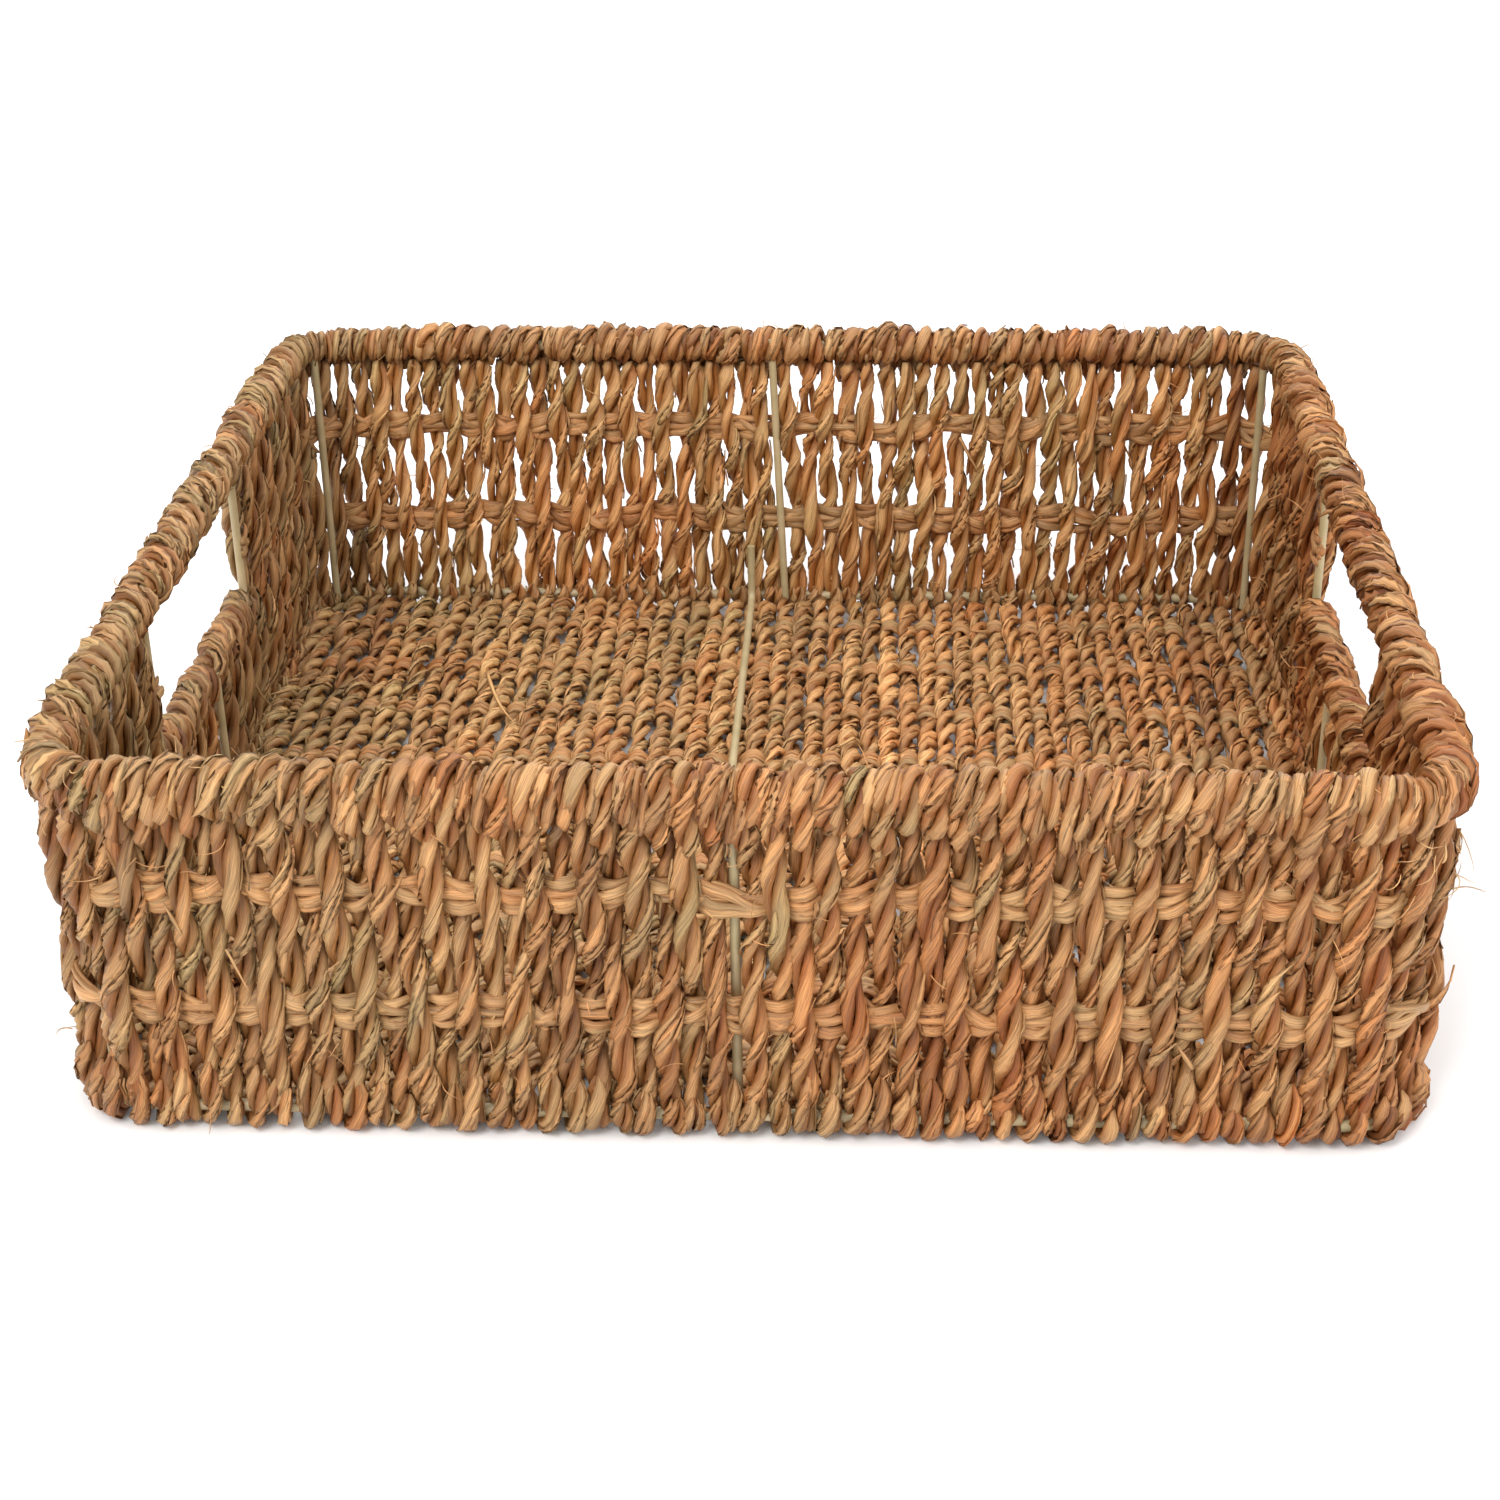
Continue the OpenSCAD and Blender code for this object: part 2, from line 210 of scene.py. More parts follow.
def wander(at, step, amount, rough=1.0):
    """Smooth random values along a strand, a new one every step, up to amount either way."""
    knots = int((at.max() - at.min()) / step) + 3
    values = rng.uniform(-amount * rough, amount * rough, knots)
    place = (at - at.min()) / step + rng.uniform(0, 1)
    index = place.astype(int)
    blend = place - index
    blend = blend * blend * (3 - 2 * blend)
    return values[index] * (1 - blend) + values[index + 1] * blend


def cut_corners(points, passes=2):
    """Rounds a polyline and keeps its ends."""
    points = np.asarray(points, float)
    for _ in range(passes):
        near = 0.75 * points[:-1] + 0.25 * points[1:]
        far = 0.25 * points[:-1] + 0.75 * points[1:]
        inner = np.stack([near, far], 1).reshape(-1, points.shape[1])
        points = np.concatenate([points[:1], inner, points[-1:]])
    return points


def even(points, step):
    """The same line in equal steps, and the distance along it of each point."""
    gaps = np.linalg.norm(np.diff(points, axis=0), axis=1)
    at = np.concatenate([[0], np.cumsum(gaps)])
    count = max(4, int(round(at[-1] / step)) + 1)
    want = np.linspace(0, at[-1], count)
    return np.stack([np.interp(want, at, points[:, i]) for i in range(3)], 1), want


def smooth_steps(at, keys):
    """Runs smoothly between (place, value) keys, level at each."""
    places, values = np.array(keys).T
    index = np.clip(np.searchsorted(places, at) - 1, 0, len(places) - 2)
    t = np.clip((at - places[index]) / (places[index + 1] - places[index]), 0, 1)
    t = t * t * (3 - 2 * t)
    return values[index] * (1 - t) + values[index + 1] * t


def unit(v):
    return v / np.maximum(np.linalg.norm(v, axis=-1, keepdims=True), 1e-9)


def across_and_out(line, lead):
    """Two directions square to a line: one near lead, and the one square to both."""
    ahead = unit(np.gradient(line, axis=0))
    across = unit(lead - ahead * (ahead @ lead)[:, None])
    return across, np.cross(ahead, across)


class Piece:
    """The strands of one visible piece. hand is -1 for places on the wall, which mirror space."""

    def __init__(self, place=None):
        self.place = place
        self.hand = 1 if place is None else -1
        self.points, self.quads, self.tris = [], [], []
        self.grain, self.shade = [], []
        self.count = 0

    def tube(self, line, across, out, section, along, tone, shade):
        """A closed strand, flattened where it rests on the table. section is (rings, sides, 2),
        tone is (lightness, hue) by ring, and shade (rings, sides) is 0 in a fold and 1 outside."""
        rings, sides = section.shape[:2]
        ring = (line[:, None] + section[..., :1] * across[:, None]
                + section[..., 1:] * out[:, None]).reshape(-1, 3)
        points = np.concatenate([ring, line[:1], line[-1:]])
        if self.place:
            points = self.place(points)
        points[:, 2] = np.maximum(points[:, 2], 0)
        quads, tris = self.faces(rings, sides)
        middles = points - points.mean(0)
        p, q, r, s = (middles[quads[:, k]] for k in range(4))
        if (np.cross(r - p, s - q) * (p + q + r + s)).sum() < 0:
            quads, tris = quads[:, ::-1], tris[:, ::-1]
        turn = np.linspace(0, 2 * np.pi, sides, endpoint=False)
        girth = np.abs(section).max()
        grain = np.stack(np.broadcast_arrays(
            (along * GRAIN_PER_MM + rng.uniform(0, GRAIN_START))[:, None],
            girth * np.cos(turn)[None], girth * np.sin(turn)[None]), -1).reshape(-1, 3)
        light, hue = tone
        tint = np.stack(np.broadcast_arrays(light[:, None], hue[:, None], shade), -1).reshape(-1, 3)
        self.points.append(points)
        self.quads.append(quads + self.count)
        self.tris.append(tris + self.count)
        self.grain.append(np.concatenate([grain, grain[:1], grain[-1:]]))
        self.shade.append(np.concatenate([tint, tint[:1], tint[-1:]]))
        self.count += len(points)

    @staticmethod
    def faces(rings, sides):
        """The quads of a tube's side, and the triangles of its two ends round their middles."""
        i, j = np.meshgrid(np.arange(rings - 1), np.arange(sides), indexing="ij")
        a, b = i * sides + j, i * sides + (j + 1) % sides
        quads = np.stack([a, b, b + sides, a + sides], -1).reshape(-1, 4)
        j = np.arange(sides)
        last = (rings - 1) * sides
        first_cap, last_cap = rings * sides, rings * sides + 1
        tris = np.concatenate([
            np.stack([np.full(sides, first_cap), (j + 1) % sides, j], -1),
            np.stack([np.full(sides, last_cap), last + j, last + (j + 1) % sides], -1)])
        return quads, tris

    def finish(self, name, slot_name, *nodes):
        """Makes the object, which rides the root and stands for these CAD nodes."""
        mesh = bpy.data.meshes.new(name)
        points = np.concatenate(self.points) * MM
        faces = np.concatenate(self.quads).tolist() + np.concatenate(self.tris).tolist()
        mesh.from_pydata(points.tolist(), [], faces)
        mesh.polygons.foreach_set("use_smooth", np.ones(len(faces), bool))
        for key, values in (("grain", self.grain), ("shade", self.shade)):
            layer = mesh.attributes.new(key, "FLOAT_VECTOR", "POINT")
            layer.data.foreach_set("vector", np.concatenate(values).astype(np.float32).ravel())
        mesh.update()
        obj = bpy.data.objects.new(name, mesh)
        bpy.context.scene.collection.objects.link(obj)
        mesh.materials.append(MATERIALS[slot_name])
        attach(obj, "root")
        if nodes:
            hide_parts(*nodes)


# ---- Two-ply rope ----

# A ply lies this far from the rope's line, and its radii are DEEP outwards and WIDE round the rope
PLY_OFFSET = 1.5
PLY_DEEP = 1.7
PLY_WIDE = 2.1
ROPE_R = PLY_OFFSET + PLY_DEEP
RING_STEP = 2.6
PLY_SIDES = 8
# Length over which each end of a rope thins
TAPER = 4
ROPE_SIZE_WANDER = (9, 0.07)
ROPE_TURN_WANDER = (14, 0.4)
PLY_SIZE_WANDER = (6, 0.14)
PLY_LIGHT_SPREAD = 0.09
PLY_LIGHT_WANDER = (16, 0.12)
PLY_HUE_SPREAD = 0.2
PLY_HUE_WANDER = (20, 0.2)
DARKER_IS_REDDER = 0.7
PLY_SHADE = 0.85
FACING_FROM, FACING_SPAN = -0.3, 0.9
# The creases of a ply: depth, folds round it, and turns along it for each CREASE_LENGTH
CREASES = ((0.07, 3, 2), (0.06, 2, -3))
CREASE_LENGTH = 17

# One blade for each so many mm of ply, with at least 5 rings and fewer than 11
BLADE_EVERY = 14.0
BLADE_THICK = 0.32
BLADE_CORNERS = np.array([(1.0, 0.0), (0.0, 1.0), (-1.0, 0.0), (0.0, -1.0)])
BLADE_RINGS = (5, 11)
BLADE_TURN = 1.0
BLADE_SLEW = 0.7
# How far a tip stands off its ply: this share of the tips is loose, and the others are laid
LOOSE_SHARE = 0.1
LOOSE_TIP_RANGE = (0.8, 3.0)
LAID_TIP_RANGE = (0.05, 0.7)
BLADE_LIFT_RANGE = (-0.1, 0.15)
TIP_DRIFT = 0.8
BLADE_WIDE_RANGE = (1.2, 2.1)
BLADE_LIGHT_RANGE = (-0.1, 0.16)
BLADE_HUE_SPREAD = 0.18
BLADE_EDGE_SHADE = 0.35


def lit_by_facing(turn):
    """1 where a strand faces out of its rope and 0 where it turns under the other, for the shade
    painted into the crevice between the plies.
    """
    value = np.clip((np.cos(turn) - FACING_FROM) / FACING_SPAN, 0, 1)
    return value * value * (3 - 2 * value)


def creased(turn, at):
    """The size of a ply round it and along it, creased as bundled leaves are."""
    fold = (at / CREASE_LENGTH + rng.uniform(0, 6))[:, None]
    size = 1
    for depth, folds, turns in CREASES:
        size = size + depth * np.cos(folds * turn + turns * fold)
    return size


def rope(piece, line, lead, twist, scale=1.0, hue=0.0, light=0.0, ends=0.7,
         blade_every=BLADE_EVERY, step=RING_STEP, sides=PLY_SIDES, rough=1.0):
    """Two strands twisted round a line, each wrapped in pointed leaf blades."""
    line, at = even(line, step)
    across, out = across_and_out(line, np.asarray(lead, float))
    length = at[-1]
    scale = scale * (1 + wander(at, *ROPE_SIZE_WANDER, rough))
    scale *= np.interp(at, [0, TAPER, length - TAPER, length], [ends, 1, 1, ends])
    phase = rng.uniform(0, 2 * np.pi)
    swing = wander(at, *ROPE_TURN_WANDER, rough)
    turn = np.linspace(0, 2 * np.pi, sides, endpoint=False)[None]
    for ply in (0, 1):
        angle = phase + np.pi * ply + piece.hand * 2 * np.pi * at / twist + swing
        radial = np.cos(angle)[:, None] * across + np.sin(angle)[:, None] * out
        round_it = -np.sin(angle)[:, None] * across + np.cos(angle)[:, None] * out
        thick = scale * (1 + wander(at, *PLY_SIZE_WANDER, rough))
        crease = creased(turn, at)
        section = np.stack([PLY_DEEP * np.cos(turn) * crease, PLY_WIDE * np.sin(turn) * crease], -1)
        section *= thick[:, None, None]
        light_at = 1 + light + rng.normal(0, PLY_LIGHT_SPREAD) + wander(at, *PLY_LIGHT_WANDER)
        hue_at = (hue + rng.normal(0, PLY_HUE_SPREAD) + wander(at, *PLY_HUE_WANDER)
                  - DARKER_IS_REDDER * (light_at - 1))
        centre = line + radial * (PLY_OFFSET * scale)[:, None]
        # Painted shade: a ply is darker where it turns under the other ply, into the crevice between
        # them
        shade = np.broadcast_to(PLY_SHADE * lit_by_facing(turn), section.shape[:2])
        piece.tube(centre, radial, round_it, section, at, (light_at, hue_at), shade)
        for _ in range(rng.poisson(length / blade_every)):
            blade(piece, centre, radial, round_it, thick, at, light_at, hue_at)


def blade(piece, centre, radial, round_it, thick, at, light, hue):
    """A pointed leaf blade wound on a strand, with a tip that stands a little proud."""
    rings = int(min(rng.integers(*BLADE_RINGS), len(at) - 1))
    first = int(rng.integers(0, len(at) - rings + 1))
    part = slice(first, first + rings)
    t = np.linspace(0, 1, rings)
    if rng.random() < 0.5:
        t = t[::-1]
    turn = rng.uniform(-BLADE_TURN, BLADE_TURN) + rng.uniform(-BLADE_SLEW, BLADE_SLEW) * t
    turn = turn[:, None]
    outwards = unit(PLY_WIDE * np.cos(turn) * radial[part] + PLY_DEEP * np.sin(turn) * round_it[part])
    sideways = unit(PLY_WIDE * np.cos(turn) * round_it[part] - PLY_DEEP * np.sin(turn) * radial[part])
    on_ply = PLY_DEEP * np.cos(turn) * radial[part] + PLY_WIDE * np.sin(turn) * round_it[part]
    tip = rng.uniform(*(LOOSE_TIP_RANGE if rng.random() < LOOSE_SHARE else LAID_TIP_RANGE))
    lift = rng.uniform(*BLADE_LIFT_RANGE) + tip * t ** 3
    line = centre[part] + on_ply * thick[part][:, None] + outwards * lift[:, None]
    line = line + sideways * (rng.normal(0, TIP_DRIFT) * t ** 3)[:, None]
    pointed = np.sin(np.pi * (0.1 + 0.88 * t)) ** 0.8
    wide = rng.uniform(*BLADE_WIDE_RANGE) * pointed + 0.05
    section = np.stack([BLADE_THICK * BLADE_CORNERS[:, 0] * np.ones((rings, 1)),
                        wide[:, None] * BLADE_CORNERS[:, 1]], -1)
    tone = (light[part] + rng.uniform(*BLADE_LIGHT_RANGE), hue[part] + rng.normal(0, BLADE_HUE_SPREAD))
    shade = np.broadcast_to(1 - BLADE_EDGE_SHADE * np.abs(BLADE_CORNERS[:, 1]), section.shape[:2])
    piece.tube(line, outwards, sideways, section, at[part], tone, shade)


# ---- Flat strands ----

STRAND_STEP = 2.2
STRAND_SIDES = 8
STRAND_TILT = 0.6
STRAND_TILT_STEP = 13
STRAND_WIDTH_WANDER = (10, 0.2)
STRAND_LIGHT_WANDER = (12, 0.16)
STRAND_HUE_WANDER = (18, 0.22)
STRAND_EDGE_SHADE = 0.55


def flat_section(rings, wide, thick, sides):
    """Rings of a flat strand, wide across and thick outwards; either may vary by ring."""
    turn = np.linspace(0, 2 * np.pi, sides, endpoint=False)
    wide, thick = np.broadcast_to(wide, rings), np.broadcast_to(thick, rings)
    return np.stack([wide[:, None] * np.cos(turn), thick[:, None] * np.sin(turn)], -1)


def flat_strand(piece, line, lead, wide, thick, hue, light, tilt=STRAND_TILT):
    """A strand that is wide along lead and rolls a little about its own line."""
    line, at = even(line, STRAND_STEP)
    across, out = across_and_out(line, np.asarray(lead, float))
    roll = wander(at, STRAND_TILT_STEP, tilt)[:, None]
    across, out = (across * np.cos(roll) + out * np.sin(roll),
                   out * np.cos(roll) - across * np.sin(roll))
    wide = wide * (1 + wander(at, *STRAND_WIDTH_WANDER))
    section = flat_section(len(at), wide, thick, STRAND_SIDES)
    tone = (1 + light + wander(at, *STRAND_LIGHT_WANDER), hue + wander(at, *STRAND_HUE_WANDER))
    turn = np.linspace(0, 2 * np.pi, STRAND_SIDES, endpoint=False)
    shade = np.broadcast_to(1 - STRAND_EDGE_SHADE * np.cos(turn) ** 4, section.shape[:2])
    piece.tube(line, across, out, section, at, tone, shade)


# ---- The walls ----

WALL_TWIST = 35.0
TWIST_RANGE = (0.88, 1.15)
GIRTH_RANGE = (0.93, 1.07)
WEAVE_DEPTH = 2.5
SKIN = WEAVE_DEPTH + ROPE_R
TOP_BELOW_RIM = 4
UPRIGHT_STEP = 2.0
UPRIGHT_OUT_WANDER = (25, 0.35)
UPRIGHT_SLACK_STEP = 22
# Near each end a wall rope is held, and strays along the wall by only this share
HELD_LENGTH, HELD_SHARE = 14, 0.25
LEAN_REACH = 26
END_HUE, END_WALL_HUE = 0.1, 0.25


def end_hue(along):
    """The right end wall is redder and the left one greener than the two long walls."""
    x = WALL.place(np.array([[along, 0.0, 0.0]]))[0, 0] / WALL.reach[1]
    return END_HUE * x + END_WALL_HUE * x ** 9


def leaning(along, z):
    """How far the ropes near the back stay lean along the wall with it."""
    low, high = box_mm("back_stay")
    tilt = (high[0] - low[0] - 2 * WALL.stay_r) / (high[2] - low[2])
    near = math.exp(-((along - stay_foot(BACK)) / LEAN_REACH) ** 2)
    return near * tilt * (z - WALL.base_z)


def upright(piece, along, side, top, scale, slack, rough, light):
    """A wall rope, on its own side of the upper band and on the other side of the lower one."""
    z = np.arange(WALL.base_z - 1, top, UPRIGHT_STEP)
    keys = [(WALL.base_z, 0), (WALL.lower_z, -side * WEAVE_DEPTH)]
    if top > WALL.upper_z:
        keys += [(WALL.upper_z, side * WEAVE_DEPTH), (WALL.rim_z + 2, 0)]
    else:
        keys += [(top + 4, 0)]
    outwards = smooth_steps(z, keys) + wander(z, *UPRIGHT_OUT_WANDER)
    hold = np.interp(z, [WALL.base_z, WALL.base_z + HELD_LENGTH, top - HELD_LENGTH, top],
                     [HELD_SHARE, 1, 1, HELD_SHARE])
    sideways = along + leaning(along, z) + wander(z, UPRIGHT_SLACK_STEP, slack) * hold
    line = np.stack([sideways, outwards, z], 1)
    rope(piece, line, ALONG, WALL_TWIST * rng.uniform(*TWIST_RANGE),
         scale * rng.uniform(*GIRTH_RANGE), end_hue(along), light + rng.normal(0, 0.06), rough=rough)


def wall_weave(node, top, scale, slack, rough=1.3, light=0.0):
    """The ropes of a CAD node. slack is how far they stray along the wall."""
    piece = Piece(WALL.place)
    for along, side in wall_ropes(node):
        upright(piece, along, side, top, scale, slack, rough, light)
    piece.finish(node + "_twist", "rope", node)


def walls():
    top = WALL.rim_z - TOP_BELOW_RIM
    wall_weave("front_ropes", top, scale=1.05, slack=1.2, rough=1.6)
    # The back wall's ropes are made lighter: painted light that stands in for more light falling on
    # the back wall
    wall_weave("back_ropes", top, scale=1.02, slack=1.5, rough=2.2, light=0.5)
    for end in ("left", "right"):
        for part in ("_front_ropes", "_back_ropes"):
            wall_weave(end + part, top, scale=0.96, slack=0.9)
        wall_weave(end + "_short_ropes", WALL.sill_z - 1, scale=0.96, slack=0.8)
    for corner in CORNERS:
        wall_weave(corner + "_corner_ropes", top, scale=1.05, slack=0.6)


# ---- Bands of flat strands ----

BAND_STRANDS = 6
BAND_WAVE = 1.5
BAND_SPREAD = 0.33
BAND_BULGE = 0.9
BAND_STEP = 1.6
BAND_OVERRUN = 8
BAND_TURN_WANDER = (20, 0.8)
BAND_HEIGHT_WANDER = (9, 0.8)
BAND_OUT_WANDER = (8, 0.5)
BAND_HUE_SPREAD, BAND_LIGHT_SPREAD = 0.12, 0.09
# How far out a band's middle passes over the front stay
STAY_COVER = 1.3
CORE_WAVE = 0.2
CORE_HEIGHT_WANDER = (9, 0.2)
CORE_WIDE, CORE_THICK, CORE_TILT = 1.75, 1.6, 0.1
CORE_LIGHT_SPREAD = 0.05
STRAND_TURN_RANGE = (7, 14)
STRAND_WIDE_RANGE = (1.2, 2.2)
STRAND_THICK = 0.8


def band_wave(at, ropes, flip, begin, end):
    """How far out a band lies: on the side that each rope leaves free, and over the front stay."""
    turned = [(a - WALL.total if a > end + 20 else a, s) for a, s in ropes]
    keys = [(a, -flip * s * BAND_WAVE) for a, s in turned
            if begin - BAND_OVERRUN < a < end + BAND_OVERRUN]
    if begin < stay_foot(FRONT) < end:
        keys.append((stay_foot(FRONT), STAY_COVER))
    return smooth_steps(at, sorted(keys))


def band(node, level, sources, spans):
    """Flat strands twisted round a thick one, woven past the ropes of the source nodes."""
    flip = 1 if level > (WALL.upper_z + WALL.lower_z) / 2 else -1
    ropes = sorted(found for source in sources for found in wall_ropes(source))
    low, high = box_mm(node)
    height = high[2] - low[2]
    piece = Piece(WALL.place)
    for begin, end in spans:
        at = np.arange(begin, end + 0.1, BAND_STEP)
        wave = band_wave(at, ropes, flip, begin, end)
        for i in range(BAND_STRANDS):
            hue = end_hue((begin + end) / 2) + rng.normal(0, BAND_HUE_SPREAD)
            if i == BAND_STRANDS // 2:
                z = level + wander(at, *CORE_HEIGHT_WANDER)
                flat_strand(piece, np.stack([at, wave * CORE_WAVE, z], 1), UP, CORE_WIDE,
                            CORE_THICK, hue, rng.normal(0, CORE_LIGHT_SPREAD), CORE_TILT)
                continue
            turn = (rng.choice([-1, 1]) * (at - begin) / rng.uniform(*STRAND_TURN_RANGE)
                    + i * 2 * math.pi / BAND_STRANDS)
            turn += wander(at, *BAND_TURN_WANDER)
            z = level + BAND_SPREAD * height * np.cos(turn) + wander(at, *BAND_HEIGHT_WANDER)
            outwards = wave + BAND_BULGE * np.sin(turn) + wander(at, *BAND_OUT_WANDER)
            flat_strand(piece, np.stack([at, outwards, z], 1), UP,
                        rng.uniform(*STRAND_WIDE_RANGE), STRAND_THICK, hue,
                        rng.normal(0, BAND_LIGHT_SPREAD))
    piece.finish(node + "_strands", "band_strand", node)


def bands():
    """The long walls' bands go on to the middles of the corners. At the upper level, those of the
    ends stop at the openings."""
    for name, level in (("upper", WALL.upper_z), ("lower", WALL.lower_z)):
        for side, first, last in ((FRONT, 3, 0), (BACK, 1, 2)):
            sources = [SIDES[side] + "_ropes", CORNERS[first] + "_corner_ropes",
                       CORNERS[last] + "_corner_ropes"]
            begin = WALL.start[side] - WALL.arc
            end = WALL.start[side] + 2 * WALL.half[0] + WALL.arc
            band(f"{SIDES[side]}_{name}_band", level, sources, [(begin, end)])
        for side in (RIGHT, LEFT):
            sources = [SIDES[side] + part for part in ("_front_ropes", "_back_ropes", "_short_ropes")]
            begin, end = WALL.start[side], WALL.start[side] + 2 * WALL.half[1]
            spans = [(begin, end)]
            if name == "upper":
                stop = WALL.half[1] - WALL.opening
                spans = [(begin, begin + stop), (end - stop, end)]
            band(f"{SIDES[side]}_{name}_band", level, sources, spans)


# ---- Loops over the edges ----

LOOP_TWIST = 25.0
LOOP_TWIST_RANGE = (0.8, 1.3)
LOOP_STEP = 2.1
LOOP_END = 0.25
LOOP_ROUGH = 1.6
LOOP_JITTER = 0.15
LOOP_BLADE_EVERY = 9.0
# This share of the rim loops is two thin ones instead of a thick one
THIN_TWIST = 34.0
THIN_SHARE = 0.2
THIN_SCALE_RANGE, THICK_SCALE_RANGE = (0.72, 0.9), (0.92, 1.16)
THIN_SLANT_RANGE, THICK_SLANT_RANGE = (-2.0, 2.5), (0, 4)
# Thin loops stand this many wire radii each side of a stay
STAY_SIDE = 1.8

RIM_LOOP_R = 4.7
RIM_LOOP_PITCH = 3.4
RIM_TAIL_RANGE = (6, 16.0)
BETWEEN_TAIL, CORNER_TAIL = 10.0, 11.0
RIM_BLADE_EVERY = 14.0

BASE_LOOP_R = 2.9
BASE_LOOP_PITCH = 5.8
BASE_LOOP_SCALE = 0.97
STAY_LOOP_SCALE = 0.75
BASE_TAIL_RANGE = (5, 16)
BASE_SLANT_RANGE = (-4, 1)
BASE_SCALE_RANGE = (0.85, 1.1)

SILL_LOOP_R = 3.1
SILL_LOOP_SCALE = 0.86

WRAP_PITCH = 6.4
WRAP_R = 4.5
WRAP_SCALE = 0.86
WRAP_TWIST = 24.0
WRAP_INSET = 2
WRAP_POINTS = 20
# Along the winding the steps are in radians
WRAP_SIZE_WANDER = (5.0, 0.3)
WRAP_SIDE_WANDER = (4.0, 0.5)
WRAP_BLADE_EVERY = 7.0


def loop_line(centre_z, radius, first, last, outer_tail, inner_tail):
    """(outwards, height) of a loop round a wire, from its outer tail to its inner tail."""
    angle = np.radians(np.linspace(first, last, 15))
    arc = np.stack([radius * np.cos(angle), centre_z + radius * np.sin(angle)], 1)
    return np.concatenate([outer_tail, arc, inner_tail])


def edge_loop(piece, along, section_line, slant, scale, hue, twist=LOOP_TWIST,
              blade_every=LOOP_BLADE_EVERY):
    """A rope drawn over an edge, leaning along the wall by slant."""
    t = np.linspace(0, 1, len(section_line))
    line = np.concatenate([(along + slant * (t - 0.5))[:, None], section_line], 1)
    line[:, 1:] += rng.normal(0, LOOP_JITTER, line[:, 1:].shape)
    rope(piece, cut_corners(line), ALONG, twist * rng.uniform(*LOOP_TWIST_RANGE), scale, hue,
         rng.normal(0.03, 0.08), LOOP_END, blade_every, LOOP_STEP, rough=LOOP_ROUGH)


def rim_loop(piece, along, thin, longest=RIM_TAIL_RANGE[1]):
    """A rope over the rim wire, with its long tail outside and its short one inside."""
    z = WALL.rim_z
    drop = rng.uniform(RIM_TAIL_RANGE[0], longest)
    outer = [(2.6, z - drop - 2), (4.2, z - drop * 0.75), (4.7, z - 3)]
    inner = [(-4.0, z - 2), (-2.2, z - rng.uniform(4, 7))]
    radius = RIM_LOOP_R - (1.0 if thin else 0.2) + rng.uniform(-0.4, 0.3)
    scale = rng.uniform(*(THIN_SCALE_RANGE if thin else THICK_SCALE_RANGE))
    slant = rng.uniform(*(THIN_SLANT_RANGE if thin else THICK_SLANT_RANGE))
    nudge = rng.uniform(-0.6, 0.6)
    section_line = loop_line(z, radius, -20, 190, outer, inner)
    edge_loop(piece, along + nudge, section_line, slant, scale, end_hue(along),
              THIN_TWIST if thin else LOOP_TWIST, RIM_BLADE_EVERY)


def spread(begin, end, pitch):
    """Even places between two ends, about a pitch apart."""
    count = max(1, round((end - begin) / pitch))
    return begin + (np.arange(count) + 0.5) * (end - begin) / count


def corner_places(side, pitch):
    begin = WALL.start[side] + 2 * WALL.half[side % 2]
    return spread(begin, begin + WALL.arc, pitch)


def stay_sides(middle_at):
    return [middle_at + way * STAY_SIDE * WALL.stay_r for way in (-1, 1)]


def rims():
    """A thick loop or two thin ones for each wall rope, and a thin one at each side of a stay."""
    for side, name in enumerate(SIDES):
        piece = Piece(WALL.place)
        nodes = ([name + "_ropes"] if side % 2 == 0 else
                 [name + "_front_ropes", name + "_back_ropes"])
        for node in nodes:
            for along, _ in wall_ropes(node):
                if rng.random() < THIN_SHARE:
                    for way in (-1, 1):
                        rim_loop(piece, along + way * RIM_LOOP_PITCH / 2, True)
                else:
                    rim_loop(piece, along, False)
                    rim_loop(piece, along + RIM_LOOP_PITCH, True, BETWEEN_TAIL)
        if side % 2 == 0:
            for along in stay_sides(stay_top(side)):
                rim_loop(piece, along, True)
        piece.finish(name + "_rim_loops_twist", "edge_loop", name + "_rim_loops")
    piece = Piece(WALL.place)
    for side in range(4):
        for along in corner_places(side, RIM_LOOP_PITCH):
            rim_loop(piece, along, True, CORNER_TAIL)
    piece.finish("corner_rim_loops_twist", "edge_loop", "corner_rim_loops")


def base_loop(piece, along, scale=BASE_LOOP_SCALE):
    """A rope under the base wire, with its long tail outside."""
    z = WALL.base_z
    rise = rng.uniform(*BASE_TAIL_RANGE)
    outer = [(1.6, z + rise), (2.9, z + rise * 0.55)]
    inner = [(-3.0, z + 3), (-3.6, z + 5)]
    radius = BASE_LOOP_R - rng.uniform(0, 0.5)
    section_line = loop_line(z, radius, 10, -190, outer, inner)
    nudge = rng.uniform(-0.8, 0.8)
    edge_loop(piece, along + nudge, section_line, rng.uniform(*BASE_SLANT_RANGE),
              scale * rng.uniform(*BASE_SCALE_RANGE), end_hue(along), THIN_TWIST)


def bases():
    for side, name in enumerate(SIDES):
        piece = Piece(WALL.place)
        parts = ["_ropes"] if side % 2 == 0 else ["_front_ropes", "_short_ropes", "_back_ropes"]
        for part in parts:
            for along, _ in wall_ropes(name + part):
                base_loop(piece, along)
        if side % 2 == 0:
            for along in stay_sides(stay_foot(side)):
                base_loop(piece, along, STAY_LOOP_SCALE)
        piece.finish(name + "_base_loops_twist", "edge_loop", name + "_base_loops")
    piece = Piece(WALL.place)
    for side in range(4):
        for along in corner_places(side, BASE_LOOP_PITCH):
            base_loop(piece, along)
    piece.finish("corner_base_loops_twist", "edge_loop", "corner_base_loops")


